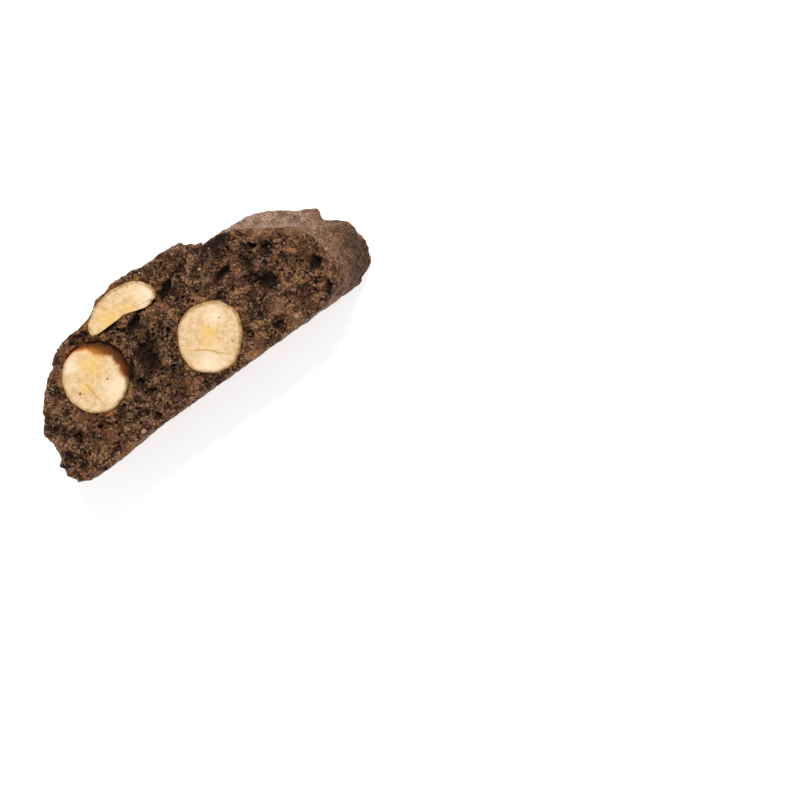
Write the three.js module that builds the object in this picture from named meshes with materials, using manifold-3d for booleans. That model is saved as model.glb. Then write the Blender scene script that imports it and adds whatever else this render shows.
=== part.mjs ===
// A slice of chocolate biscotti with hazelnuts, lying on one of its two cut faces.
//
// The loaf that it was cut from is a low dome on a flat base. The knife crossed the loaf at a slant, so the lower
// cut face sits further along the base than the upper one, and at one end the crust leans out from under the cut.
// The knife went through the hazelnuts too. Each is a solid of its own, seated in a pocket in the dough.
//
// Millimetres. X runs along the base, Y from the base to the crown, and Z from the face that the slice rests on to
// the face that shows. The origin is under the middle of the slice. Every shape is first made upright, as if the
// knife had gone straight across, and then slanted.
import * as THREE from "three";
import { mergeVertices } from "three/addons/utils/BufferGeometryUtils.js";
import Module from "manifold-3d";

const wasm = await Module();
wasm.setup();

// ---- Driving dimensions ----

const THICKNESS = 14; // between the two cut faces
const SLANT = 7.8; // how far the lower cut face sits along +X past the upper one
const HEART = { x: -6.88, y: -7.46 }; // the point inside the slice that its outlines are measured from

// How far each cut face reaches from HEART, and how full the curve is on each side (2 is an ellipse).
const UPPER = { left: 30.9, right: 36.2, crown: 21.9, base: 6.4 };
const LOWER = { left: 28.5, right: 36.4, crown: 19.4, base: 6.1 };
const FULLNESS = { left: 1.95, right: 2.2, base: 6 };

// Rises (+) and dents (-) that the crust got as it baked. x, y and z are the middle of each, "wide" is its reach
// round the outline and "long" its reach through the thickness.
const LUMPS = [
  { name: "dent left of the crown", x: -17.8, y: 12.2, z: 14, rise: -1.2, wide: 5.6, long: 16 },
  { name: "crown", x: -8, y: 15, z: 14, rise: 0.5, wide: 9, long: 19 },
  { name: "rise right of the crown", x: 5, y: 14.3, z: 14, rise: 0.7, wide: 6.2, long: 8 },
  { name: "step down", x: 11.2, y: 11.4, z: 14, rise: -1.2, wide: 5.4, long: 9 },
  { name: "step down, lower", x: 7.2, y: 13.2, z: 7, rise: -1.5, wide: 5.6, long: 7 },
  { name: "foot of the step", x: 3, y: 13, z: 0, rise: -1.4, wide: 5.2, long: 8 },
  { name: "left shoulder", x: -23.6, y: 10.6, z: 14, rise: 0.5, wide: 4.2, long: 12 },
  { name: "bump over the flat of the left end", x: -35.6, y: -1.4, z: 14, rise: 0.4, wide: 3, long: 9 },
  { name: "flat of the left end", x: -37, y: -6.4, z: 14, rise: -0.9, wide: 3.6, long: 9 },
  { name: "sag of the base", x: -30, y: -14.6, z: 14, rise: 1.3, wide: 13, long: 20 },
  { name: "right heel", x: 27.6, y: -11.6, z: 14, rise: -0.9, wide: 4.2, long: 17 },
  { name: "right shoulder", x: 20, y: 8, z: 14, rise: 0.5, wide: 5, long: 9 },
  { name: "edge of the crust at the right", x: 26.4, y: 1.6, z: 14, rise: 0.8, wide: 6.5, long: 7 },
  { name: "belly of the right end", x: 27, y: 0, z: 4, rise: 2.2, wide: 14, long: 8 },
  { name: "crease in the right end", x: 26.2, y: 0.2, z: 2, rise: -2.3, wide: 3.5, long: 12 },
  { name: "knob below the crease", x: 29.4, y: -5, z: 3, rise: 0.4, wide: 5, long: 7 },
  { name: "upper lip of the right end", x: 17, y: 9.3, z: 3.5, rise: 1.8, wide: 5.6, long: 8 },
  { name: "hidden left shoulder", x: -24, y: 8.5, z: 1, rise: 0.8, wide: 7, long: 9 },
];

// Hollows of the shown face: torn crumb and burst bubbles. "turn" is the angle of the long side in degrees.
const HOLLOWS = [
  { name: "torn edge at the step", x: 12.3, y: 11.0, long: 5.2, wide: 3.4, turn: -10, deep: 2.2 },
  { name: "low crumb between the nuts", x: -11.0, y: -1.8, long: 4.6, wide: 3.8, turn: 50, deep: 0.9 },
  { name: "slot beside the end nut", x: -15.6, y: -1.5, long: 3.2, wide: 1.3, turn: 55, deep: 1.1 },
  { name: "slot under the half nut", x: -9.4, y: 6.0, long: 2.4, wide: 1.2, turn: 20, deep: 1.2 },
  { name: "bubble beside the half nut", x: 0.2, y: 8.2, long: 1.9, wide: 1.3, turn: 36, deep: 1.3 },
  { name: "long bubble", x: 10.3, y: 3.8, long: 3.2, wide: 1.1, turn: 11, deep: 1.4 },
  { name: "low crumb in the middle", x: 16, y: 2.7, long: 3.2, wide: 2.2, turn: -20, deep: 0.8 },
  { name: "low crumb toward the right end", x: 17.5, y: -3, long: 3.2, wide: 2.6, turn: 0, deep: 0.7 },
  { name: "slot toward the crust", x: 20.3, y: 2.3, long: 2, wide: 1.2, turn: 70, deep: 1.0 },
  { name: "round bubble at the right", x: 27, y: -5.4, long: 1.9, wide: 1.6, turn: 55, deep: 1.7 },
  { name: "slit at the right heel", x: 26.3, y: -10.8, long: 2.4, wide: 1.0, turn: 55, deep: 1.1 },
];

// Crumb of both cut faces: how many small pits, their radius and depth, and how uneven the rest is.
const PITS = { count: 120, least: 1.1, most: 2.1, deep: 0.55, seed: 11 };
const CRUMB_UNEVEN = 0.2; // on the upper face; the lower one lies flat between its pits
const CRUST_UNEVEN = 0.3;

// The cut hazelnuts. x and y are the middle of the cut, "turn" is the angle of its long side in degrees, and the
// four reaches and the fullness make its outline as the slice's own are made. "deep" is how far it goes into the
// dough. A "shoulder" is an edge that the knife missed: its width and the way that it faces in the nut's own frame.
// "dents" are places in the nut's own frame where its outline is pushed in by "deep".
const UPPER_NUTS = [
  {
    name: "hazelnut_middle", x: 1.3, y: -5.1, turn: 54,
    left: 7.3, right: 7.3, crown: 6.4, base: 6.5, fullness: { left: 2.1, right: 2.1, base: 2.7 }, deep: 6.6,
    dents: [{ x: -5.5, y: -4.5, deep: 0.4, wide: 5 }, { x: 7, y: 2, deep: 0.3, wide: 4 }],
  },
  {
    name: "hazelnut_end", x: -22.0, y: 1.6, turn: 54,
    left: 7.2, right: 7.3, crown: 6.7, base: 6.7, fullness: { left: 1.9, right: 2.2, base: 2.2 }, deep: 6.2,
    shoulder: { wide: 2.7, facing: -20 },
  },
  {
    name: "hazelnut_half", x: -9.8, y: 9.1, turn: -7,
    left: 8.0, right: 7.7, crown: 5, base: 1.9, fullness: { left: 1.5, right: 2.4, base: 5 }, deep: 3.6,
    dents: [{ x: 0, y: -1.9, deep: 1, wide: 7.5 }, { x: 7.7, y: -1.8, deep: 1.2, wide: 2.8 }],
  },
];
const LOWER_NUTS = [
  {
    name: "hazelnut_under_right", x: 14.0, y: -2.2, turn: 25,
    left: 6.6, right: 7.0, crown: 6.0, base: 6.1, fullness: { left: 2.1, right: 2.3, base: 2.2 }, deep: 5.6,
  },
  {
    name: "hazelnut_under_left", x: -12.2, y: -5.2, turn: 110,
    left: 6.2, right: 5.6, crown: 5.2, base: 3.6, fullness: { left: 2, right: 2.1, base: 2.3 }, deep: 4.6,
  },
];
const NUT_GAP = 0.3; // between a nut and the dough round it
const NUT_PROUD = 0.1; // how far a nut stands over the upper cut face
const NUT_SUNK = 0.15; // how far a nut lies inside the lower cut face
const SHOULDER_DROP = 1.3; // how far the uncut slope of a shoulder falls
const SHOULDER_TURN = 100; // how many degrees a shoulder reaches to each side

// How finely each surface is divided.
const GRID = { along: 56, up: 24, upBelowHeart: 6, through: 11 };
const NUT_GRID = { round: 26, down: 6, across: 5 };

// ---- Shared shaping ----

// Numbers from 0 to 1 that come out the same every time.
function randomFrom(seed) {
  let state = seed;
  return () => {
    state = (Math.imul(state, 1664525) + 1013904223) >>> 0;
    return state / 2 ** 32;
  };
}

// A soft hill of height 1 that fades to nothing at distance 1.
function hill(distance) {
  return distance < 1 ? (1 - distance ** 2) ** 2 : 0;
}

// A wavy value from -1 to 1 that doesn't repeat over the size of a slice. "size" is about half a wave.
function waver(x, y, z, size) {
  const k = Math.PI / size;
  return (
    (Math.sin(k * (x + 0.37 * y) + 1.3) + Math.sin(k * (0.83 * y - 0.41 * z) + 2.1 * Math.sin(0.31 * k * x)) +
      Math.sin(k * (0.71 * z + 0.53 * x - 0.29 * y) + 4.2)) /
    3
  );
}

// Where the ray from the middle towards (dx, dy) meets an outline of four quarter superellipses, as a point
// relative to the middle, with the outward direction there.
function edgeOf(reach, fullness, dx, dy) {
  const a = dx < 0 ? reach.left : reach.right;
  const b = dy < 0 ? reach.base : reach.crown;
  const p = dy < 0 ? fullness.base : dx < 0 ? fullness.left : fullness.right;
  const r = (Math.abs(dx) ** p + Math.abs(dy) ** p) ** (-1 / p);
  const out = new THREE.Vector2(
    (Math.sign(dx) * Math.abs(r * dx) ** (p - 1)) / a,
    (Math.sign(dy) * Math.abs(r * dy) ** (p - 1)) / b,
  ).normalize();
  return { x: a * r * dx, y: b * r * dy, out };
}

// The closed mesh of a three.js geometry as a manifold-3d solid. Triangles that shrank to nothing are dropped.
function solidOf(geometry) {
  const bare = geometry.clone();
  bare.deleteAttribute("normal");
  bare.deleteAttribute("uv");
  const merged = mergeVertices(bare, 1e-4);
  const kept = [];
  for (let i = 0; i < merged.index.count; i += 3) {
    const [a, b, c] = [0, 1, 2].map((k) => merged.index.getX(i + k));
    if (a !== b && b !== c && c !== a) kept.push(a, b, c);
  }
  return new wasm.Manifold(
    new wasm.Mesh({
      numProp: 3,
      vertProperties: merged.attributes.position.array,
      triVerts: new Uint32Array(kept),
    }),
  );
}

function geometryOf(solid) {
  const { numProp, numVert, vertProperties, triVerts } = solid.getMesh();
  const places = new Float32Array(3 * numVert);
  for (let i = 0; i < numVert; i++) places.set(vertProperties.subarray(i * numProp, i * numProp + 3), 3 * i);
  const geometry = new THREE.BufferGeometry();
  geometry.setAttribute("position", new THREE.BufferAttribute(places, 3));
  geometry.setIndex(new THREE.BufferAttribute(triVerts, 1));
  geometry.computeVertexNormals();
  return geometry;
}

// Moves every vertex of a geometry to where "place" puts it.
function reshaped(geometry, place) {
  const places = geometry.attributes.position;
  const point = new THREE.Vector3();
  for (let i = 0; i < places.count; i++) {
    place(point.fromBufferAttribute(places, i));
    places.setXYZ(i, point.x, point.y, point.z);
  }
  return geometry;
}

function slanted(point) {
  point.x += SLANT * (1 - point.z / THICKNESS);
  return point;
}

// ---- The dough ----

// The outline of the slice at a height, in the direction (dx, dy) from HEART.
function outlineAt(dx, dy, z) {
  const share = z / THICKNESS;
  const reach = {};
  for (const side of Object.keys(UPPER)) reach[side] = LOWER[side] + share * (UPPER[side] - LOWER[side]);
  const edge = edgeOf(reach, FULLNESS, dx, dy);
  const x = HEART.x + edge.x;
  const y = HEART.y + edge.y;
  let rise = CRUST_UNEVEN * waver(x, y, z, 4.3) * (dy < 0 ? 0.3 : 1);
  for (const lump of LUMPS)
    rise += lump.rise * hill(Math.hypot((x - lump.x) / lump.wide, (y - lump.y) / lump.wide, (z - lump.z) / lump.long));
  return { x: x + rise * edge.out.x, y: y + rise * edge.out.y };
}

function pitsOf(seed) {
  const random = randomFrom(seed);
  return Array.from({ length: PITS.count }, () => ({
    x: THREE.MathUtils.lerp(-38, 30, random()),
    y: THREE.MathUtils.lerp(-15, 15, random()),
    radius: THREE.MathUtils.lerp(PITS.least, PITS.most, random() ** 2),
  }));
}

function pitDepth(pits, x, y) {
  let depth = 0;
  for (const pit of pits)
    depth = Math.max(depth, PITS.deep * pit.radius * hill(Math.hypot(x - pit.x, y - pit.y) / pit.radius));
  return depth;
}

function hollowDepth(x, y) {
  let depth = 0;
  for (const hollow of HOLLOWS) {
    const turn = THREE.MathUtils.degToRad(hollow.turn);
    const along = (x - hollow.x) * Math.cos(turn) + (y - hollow.y) * Math.sin(turn);
    const across = (y - hollow.y) * Math.cos(turn) - (x - hollow.x) * Math.sin(turn);
    depth = Math.max(depth, hollow.deep * hill(Math.hypot(along / hollow.long, across / hollow.wide)));
  }
  return depth;
}

function doughSolid() {
  const upperPits = pitsOf(PITS.seed);
  const lowerPits = pitsOf(PITS.seed + 1);
  const { along, up, upBelowHeart, through } = GRID;
  const belowShare = upBelowHeart / up;
  const box = new THREE.BoxGeometry(2, 2, 1, along, up, through);
  return solidOf(
    reshaped(box, (point) => {
      // The box's rows are shared out between the low side under HEART and the high side over it.
      const row = (point.y + 1) / 2;
      const dy = row < belowShare ? row / belowShare - 1 : (row - belowShare) / (1 - belowShare);
      const dx = point.x;
      const share = point.z + 0.5;
      const ring = Math.max(Math.abs(dx), Math.abs(dy));
      const edge = ring ? outlineAt(dx / ring, dy / ring, share * THICKNESS) : HEART;
      point.x = HEART.x + ring * (edge.x - HEART.x);
      point.y = HEART.y + ring * (edge.y - HEART.y);
      point.z = share * THICKNESS;
      if (share === 0) point.z += pitDepth(lowerPits, point.x, point.y);
      if (share === 1) {
        point.z += CRUMB_UNEVEN * waver(point.x, point.y, 0, 1.7);
        point.z -= Math.max(pitDepth(upperPits, point.x, point.y), hollowDepth(point.x, point.y));
      }
      slanted(point);
    }),
  );
}

// ---- The hazelnuts ----

// A nut's outline in its own frame, with its dents.
function nutEdge(nut, dx, dy) {
  const edge = edgeOf(nut, nut.fullness, dx, dy);
  let push = 0;
  for (const dent of nut.dents ?? []) push += dent.deep * hill(Math.hypot(edge.x - dent.x, edge.y - dent.y) / dent.wide);
  return { x: edge.x - push * edge.out.x, y: edge.y - push * edge.out.y, out: edge.out };
}

// How much of a shoulder's drop there is at (x, y) in a nut's frame, "inward" from its outline.
function shoulderShare({ wide, facing }, x, y, inward) {
  const away = Math.abs(THREE.MathUtils.euclideanModulo((Math.atan2(y, x) * 180) / Math.PI - facing + 180, 360) - 180);
  const width = 1.2 * wide * hill(away / SHOULDER_TURN);
  return width ? hill(inward / width) : 0;
}

// A body of revolution of radius 1, stretched to a nut's outline. "grown" widens it by that much all round.
function nutShape(nut, profile, grown, z, down) {
  const turn = THREE.MathUtils.degToRad(nut.turn);
  const lathe = new THREE.LatheGeometry(
    profile.map(([radius, height]) => new THREE.Vector2(radius, height)),
    NUT_GRID.round,
  ).rotateX(Math.PI / 2);
  return reshaped(lathe, (point) => {
    const radius = Math.hypot(point.x, point.y);
    const edge = radius > 1e-6 ? nutEdge(nut, point.x, point.y) : { x: 0, y: 0, out: new THREE.Vector2() };
    const x = radius * edge.x + Math.min(1, radius) * grown * edge.out.x;
    const y = radius * edge.y + Math.min(1, radius) * grown * edge.out.y;
    const inward = (1 - Math.min(1, radius)) * Math.hypot(edge.x, edge.y);
    const onShoulder = nut.shoulder && radius > 0.1 && point.z > -0.5;
    const slope = onShoulder ? shoulderShare(nut.shoulder, x, y, inward) : 0;
    point.x = nut.x + x * Math.cos(turn) - y * Math.sin(turn);
    point.y = nut.y + x * Math.sin(turn) + y * Math.cos(turn);
    point.z = z + down * (SHOULDER_DROP * slope - point.z);
    slanted(point);
  });
}

// The nut's own profile: a round underside, a small radius at the rim and the flat cut.
function nutProfile(deep) {
  const { down, across } = NUT_GRID;
  const rim = 0.35;
  const profile = [];
  for (let i = 0; i <= down; i++) {
    const angle = (Math.PI / 2) * (i / down);
    profile.push([Math.sin(angle), -rim - (deep - rim) * Math.cos(angle)]);
  }
  for (let i = 0; i <= across; i++) profile.push([(1 - i / across) * 0.96, 0]);
  return profile;
}

// The pocket's profile: the nut's underside, and straight out of the dough over it.
function pocketProfile(deep) {
  const { down } = NUT_GRID;
  const clear = 4;
  const profile = [];
  for (let i = 0; i <= down; i++) {
    const angle = (Math.PI / 2) * (i / down);
    profile.push([Math.sin(angle), -(deep + NUT_GAP) * Math.cos(angle)]);
  }
  profile.push([1, clear], [0, clear]);
  return profile;
}

// Turns a mirrored mesh right side out.
function facingOut(geometry, down) {
  const { index } = geometry;
  if (down > 0) return geometry;
  for (let i = 0; i < index.count; i += 3) {
    const second = index.getX(i + 1);
    index.setX(i + 1, index.getX(i + 2));
    index.setX(i + 2, second);
  }
  return geometry;
}

// Every nut with the height of its cut and the way that it goes into the dough: -1 up from the lower face.
const NUTS = [
  ...UPPER_NUTS.map((nut) => ({ nut, cut: THICKNESS + NUT_PROUD, down: -1 })),
  ...LOWER_NUTS.map((nut) => ({ nut, cut: NUT_SUNK, down: 1 })),
];

// ---- The model ----

const doughMaterial = new THREE.MeshStandardMaterial({ color: 0x5a3f2d, roughness: 0.9, metalness: 0 });
const nutMaterial = new THREE.MeshStandardMaterial({ color: 0xf0cf9a, roughness: 0.55, metalness: 0 });

const biscotti = new THREE.Group();

function addPiece(name, solid, material) {
  const mesh = new THREE.Mesh(geometryOf(solid), material);
  mesh.name = name;
  biscotti.add(mesh);
}

let dough = doughSolid();
for (const { nut, cut, down } of NUTS) {
  const pocket = nutShape(nut, pocketProfile(nut.deep), NUT_GAP, cut, down);
  dough = dough.subtract(solidOf(facingOut(pocket, -down)));
  addPiece(nut.name, solidOf(facingOut(nutShape(nut, nutProfile(nut.deep), 0, cut, down), -down)), nutMaterial);
}
addPiece("dough", dough, doughMaterial);

export default biscotti;
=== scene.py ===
"""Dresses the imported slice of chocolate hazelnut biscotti: crumb, crust, cut hazelnuts, studio and camera.

Shapes are worked out in millimetres, upright as before the slant of the cut, with the same named sizes as
the solids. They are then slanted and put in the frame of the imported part, in metres.
"""

import math

import bpy
import numpy as np
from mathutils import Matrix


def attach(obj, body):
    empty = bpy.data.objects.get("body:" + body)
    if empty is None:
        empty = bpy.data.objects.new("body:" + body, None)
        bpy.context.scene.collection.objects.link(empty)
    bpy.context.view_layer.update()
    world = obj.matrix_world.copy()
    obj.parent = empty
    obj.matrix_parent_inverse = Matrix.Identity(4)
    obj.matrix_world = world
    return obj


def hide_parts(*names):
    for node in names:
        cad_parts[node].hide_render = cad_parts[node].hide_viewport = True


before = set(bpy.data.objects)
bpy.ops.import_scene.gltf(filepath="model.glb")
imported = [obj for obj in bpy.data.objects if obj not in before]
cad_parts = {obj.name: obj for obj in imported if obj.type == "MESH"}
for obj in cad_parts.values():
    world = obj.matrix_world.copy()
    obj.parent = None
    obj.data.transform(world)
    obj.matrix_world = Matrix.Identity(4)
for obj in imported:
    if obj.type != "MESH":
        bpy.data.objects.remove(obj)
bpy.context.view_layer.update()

import openvdb
from mathutils import Matrix, Vector

MM = 0.001

# ---- The slice, with the sizes of the solids ----

THICKNESS = 14.0
SLANT = 7.8  # how far the lower cut face is shifted along the slice
HEART = (-6.88, -7.46)  # the point that the outlines go round

# How far the outlines of both cut faces reach to each side of it, and how full they are there. A fullness
# of 2 is an ellipse, and more is squarer.
UPPER = {"left": 30.9, "right": 36.2, "crown": 21.9, "base": 6.4}
LOWER = {"left": 28.5, "right": 36.4, "crown": 19.4, "base": 6.1}
FULLNESS = {"left": 1.95, "right": 2.2, "base": 6.0}

CRUST_UNEVEN = 0.3
CRUST_WAVE = 4.3
BASE_UNEVEN = 0.3  # the share of the crust's unevenness that the flat base has
CRUMB_UNEVEN = 0.2
CRUMB_WAVE = 1.7

# Rises and dents of the crust: middle x, y, z, rise, reach round the outline and through the thickness.
LUMPS = (
    (-17.8, 12.2, 14, -1.2, 5.6, 16),  # dent left of the crown
    (-8, 15, 14, 0.5, 9, 19),  # crown
    (5, 14.3, 14, 0.7, 6.2, 8),  # rise right of the crown
    (11.2, 11.4, 14, -1.2, 5.4, 9),  # step down
    (7.2, 13.2, 7, -1.5, 5.6, 7),  # step down, lower
    (3.0, 13.0, 0, -1.4, 5.2, 8),  # foot of the step
    (-23.6, 10.6, 14, 0.5, 4.2, 12),  # left shoulder
    (-35.6, -1.4, 14, 0.4, 3, 9),  # bump over the flat of the left end
    (-37, -6.4, 14, -0.9, 3.6, 9),  # flat of the left end
    (-30, -14.6, 14, 1.3, 13, 20),  # sag of the base
    (27.6, -11.6, 14, -0.9, 4.2, 17),  # right heel
    (20, 8, 14, 0.5, 5, 9),  # right shoulder
    (26.4, 1.6, 14, 0.8, 6.5, 7),  # edge of the crust at the right
    (27, 0, 4, 2.2, 14, 8),  # belly of the right end
    (26.2, 0.2, 2, -2.3, 3.5, 12),  # crease in the right end
    (29.4, -5, 3, 0.4, 5, 7),  # knob below the crease
    (17.0, 9.3, 3.5, 1.8, 5.6, 8),  # upper lip of the right end
    (-24, 8.5, 1, 0.8, 7, 9),  # hidden left shoulder
)

# Smaller ones, which the solids don't have.
FINE_LUMPS = (
    (-36.9, -7.6, 14, -0.6, 0.8, 5),  # nick in the left end
    (-37.6, -8.8, 14, 0.6, 0.9, 5),  # spur below the nick
    (-37.4, -11.6, 14, 0.3, 1.6, 6),  # fuller under the spur
    (-36.2, -14.0, 14, -0.3, 1.8, 7),  # rounded bottom corner
    (-36.6, -2.2, 14, 0.3, 2.4, 6),  # fuller left end
    (-31.0, 5.8, 14, 0.4, 4.5, 7),  # fuller slope of the left end
    (-26.2, 9.6, 14, 0.65, 3.6, 7),  # fuller left shoulder
    (-8, 15.2, 14, 0.45, 3.0, 7),  # top of the crown
    (15.8, 10.4, 14, -0.45, 2.4, 6),  # dip before the upper lip
    (13.8, 10.6, 3.5, 0.4, 2.4, 6),  # start of the upper lip
    (21.4, 7.8, 4, 0.75, 3.2, 7),  # fuller end of the upper lip
    (25.6, 5.0, 4, 0.35, 2.6, 6),  # shoulder above the crease
    (28.2, 0.4, 2, 0.35, 2.0, 7),  # shallower far end of the crease
    (29.9, -8.4, 0, 0.45, 4.0, 5),  # fuller right end
    (22.8, -13.8, 0, 0.45, 4.0, 5),  # fuller right heel
    (18.6, -13.8, 0, 0.25, 4.0, 5),  # fuller base beside it
)

# Hollows of the shown face: middle x, y, half length, half width, turn in degrees, depth.
HOLLOWS = (
    (12.3, 11.0, 5.2, 3.4, -10, 2.2),  # torn edge at the step
    (-11.0, -1.8, 4.6, 3.8, 50, 0.9),  # low crumb between the nuts
    (-15.6, -1.5, 3.2, 1.3, 55, 1.1),  # slot beside the end nut
    (-9.4, 6.0, 2.4, 1.2, 20, 1.2),  # slot under the half nut
    (0.2, 8.2, 1.9, 1.3, 36, 1.3),  # bubble beside the half nut
    (10.3, 3.8, 3.2, 1.1, 11, 1.4),  # long bubble
    (16, 2.7, 3.2, 2.2, -20, 0.8),  # low crumb in the middle
    (17.5, -3, 3.2, 2.6, 0, 0.7),  # low crumb toward the right end
    (20.3, 2.3, 2.0, 1.2, 70, 1.0),  # slot toward the crust
    (27, -5.4, 1.9, 1.6, 55, 1.7),  # round bubble at the right
    (26.3, -10.8, 2.4, 1.0, 55, 1.1),  # slit at the right heel
)

# Where the crust is torn off, at the step on the crown's right.
TORN_MIDDLE = (10.5, 11.5)
TORN_REACH = (7.5, 7)

# Hazelnuts: middle, turn in degrees, depth in the dough, height of the cut, which way the nut goes from it,
# and the reach and fullness of the cut's outline. Its dents have x, y in the nut's frame, depth and reach.
UPPER_CUT = THICKNESS + 0.1
LOWER_CUT = 0.15
NUTS = {
    "hazelnut_middle": {
        "at": (1.3, -5.1), "turn": 54, "deep": 6.6, "cut": UPPER_CUT, "down": -1,
        "reach": {"left": 7.3, "right": 7.3, "crown": 6.4, "base": 6.5},
        "fullness": {"left": 2.1, "right": 2.1, "base": 2.7},
        "dents": ((-5.5, -4.5, 0.4, 5), (7, 2, 0.3, 4)),
    },
    "hazelnut_end": {
        "at": (-22.0, 1.6), "turn": 54, "deep": 6.2, "cut": UPPER_CUT, "down": -1,
        "reach": {"left": 7.2, "right": 7.3, "crown": 6.7, "base": 6.7},
        "fullness": {"left": 1.9, "right": 2.2, "base": 2.2},
    },
    "hazelnut_half": {
        "at": (-9.8, 9.1), "turn": -7, "deep": 3.6, "cut": UPPER_CUT, "down": -1,
        "reach": {"left": 8.0, "right": 7.7, "crown": 5.0, "base": 1.9},
        "fullness": {"left": 1.5, "right": 2.4, "base": 5.0},
        "dents": ((0, -1.9, 1, 7.5), (7.7, -1.8, 1.2, 2.8)),
    },
    "hazelnut_under_right": {
        "at": (14.0, -2.2), "turn": 25, "deep": 5.6, "cut": LOWER_CUT, "down": 1,
        "reach": {"left": 6.6, "right": 7.0, "crown": 6.0, "base": 6.1},
        "fullness": {"left": 2.1, "right": 2.3, "base": 2.2},
    },
    "hazelnut_under_left": {
        "at": (-12.2, -5.2), "turn": 110, "deep": 4.6, "cut": LOWER_CUT, "down": 1,
        "reach": {"left": 6.2, "right": 5.6, "crown": 5.2, "base": 3.6},
        "fullness": {"left": 2.0, "right": 2.1, "base": 2.3},
    },
}

# ---- Rules for shapes ----

TINY = 1e-4  # keeps places on an axis away from powers of nothing


def hill(distance):
    """A soft hill of height 1 that fades to nothing at distance 1."""
    return np.where(distance < 1, (1 - np.minimum(distance, 1) ** 2) ** 2, 0)


def smoothstep(low, high, value):
    """A soft rise from 0 at low to 1 at high."""
    t = np.clip((value - low) / (high - low), 0, 1)
    return t * t * (3 - 2 * t)


def smooth_max(a, b, reach):
    """The larger of two distances, with the edge between them rounded over about "reach"."""
    h = np.clip(0.5 + 0.5 * (a - b) / reach, 0, 1)
    return b + (a - b) * h + reach * h * (1 - h)


def waver(x, y, z, size):
    """A wavy value from -1 to 1 that doesn't repeat within a slice. Half a wave is about "size" long."""
    k = math.pi / size
    return (
        np.sin(k * (x + 0.37 * y) + 1.3)
        + np.sin(k * (0.83 * y - 0.41 * z) + 2.1 * np.sin(0.31 * k * x))
        + np.sin(k * (0.71 * z + 0.53 * x - 0.29 * y) + 4.2)
    ) / 3


def quarters(x, y, reach, fullness):
    """The reach along x and y and the fullness of the quarter of an outline that (x, y) is in."""
    a = np.where(x < 0, reach["left"], reach["right"])
    b = np.where(y < 0, reach["base"], reach["crown"])
    side = np.where(x < 0, fullness["left"], fullness["right"])
    return a, b, np.where(y < 0, fullness["base"], side)


def gauge(x, y, reach, fullness):
    """How far out (x, y) is in an outline round the origin, 1 on it, and its distance from the outline."""
    a, b, p = quarters(x, y, reach, fullness)
    u = np.abs(x) / a + TINY
    v = np.abs(y) / b + TINY
    g = (u**p + v**p) ** (1 / p)
    slope = g ** (1 - p) * np.hypot(u ** (p - 1) / a, v ** (p - 1) / b)
    return g, (g - 1) / slope


def reach_at(z):
    """The reach of the slice's outline at a height."""
    return {side: LOWER[side] + (z / THICKNESS) * (UPPER[side] - LOWER[side]) for side in UPPER}


RISE_ZONE = 4  # rises and dents count this far from the plain outline


def crust_rise(x, y, z):
    """How far the crust stands out at a point of the plain outline."""
    rise = CRUST_UNEVEN * waver(x, y, z, CRUST_WAVE) * np.where(y < HEART[1], BASE_UNEVEN, 1)
    for lump_x, lump_y, lump_z, height, wide, long in LUMPS + FINE_LUMPS:
        apart = ((x - lump_x) / wide) ** 2 + ((y - lump_y) / wide) ** 2 + ((z - lump_z) / long) ** 2
        rise = rise + height * hill(np.sqrt(apart))
    return rise


def wall_distance(x, y, z):
    """Distance from the crust, negative inside. It is right within RISE_ZONE of the crust."""
    dx = x - HEART[0]
    dy = y - HEART[1]
    g, distance = gauge(dx, dy, reach_at(z), FULLNESS)
    near = np.abs(distance) < RISE_ZONE
    g = np.maximum(g, 0.2)  # so that the heart itself isn't divided by nothing
    x, y, z = np.broadcast_arrays(HEART[0] + dx / g, HEART[1] + dy / g, z)
    distance[near] -= crust_rise(x[near], y[near], z[near])
    return distance


def hollow_depth(x, y):
    """How deep the hollows of the shown face are."""
    depth = np.zeros(np.broadcast(x, y).shape)
    for at_x, at_y, long, wide, turn, deep in HOLLOWS:
        c = math.cos(math.radians(turn))
        s = math.sin(math.radians(turn))
        along = (x - at_x) * c + (y - at_y) * s
        across = (y - at_y) * c - (x - at_x) * s
        depth = np.maximum(depth, deep * hill(np.hypot(along / long, across / wide)))
    return depth


def torn_share(x, y):
    """How much of the crust is torn off, from 0 to 1."""
    across = (x - TORN_MIDDLE[0]) / TORN_REACH[0]
    up = (y - TORN_MIDDLE[1]) / TORN_REACH[1]
    return hill(np.hypot(across, up))


def nut_frame(nut, x, y):
    """A point's place in a nut's own frame."""
    c = math.cos(math.radians(nut["turn"]))
    s = math.sin(math.radians(nut["turn"]))
    dx = x - nut["at"][0]
    dy = y - nut["at"][1]
    return dx * c + dy * s, dy * c - dx * s


def slice_place(nut, local_x, local_y):
    """The x and y in the slice of a point in a nut's own frame."""
    c = math.cos(math.radians(nut["turn"]))
    s = math.sin(math.radians(nut["turn"]))
    return nut["at"][0] + local_x * c - local_y * s, nut["at"][1] + local_x * s + local_y * c


NUT_HEART = 1.5  # a dent's depth isn't spread further in than this


def pocket_distance(nut, x, y, z):
    """Distance from a nut's pocket, negative inside it. It is open on the side of the cut."""
    local_x, local_y = nut_frame(nut, x, y)
    g, _ = gauge(local_x, local_y, nut["reach"], nut["fullness"])
    apart = np.maximum(np.hypot(local_x, local_y), NUT_HEART)
    for dent_x, dent_y, deep, wide in nut.get("dents", ()):
        g = g + deep / apart * hill(np.hypot(local_x - dent_x, local_y - dent_y) / wide)
    down = np.maximum(0, (nut["cut"] - z) * -nut["down"]) / nut["deep"]
    return (np.sqrt(g**2 + down**2) - 1.0) * min(nut["reach"]["crown"], nut["deep"])


# ---- The dough's shape, as a field over a grid ----

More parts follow.
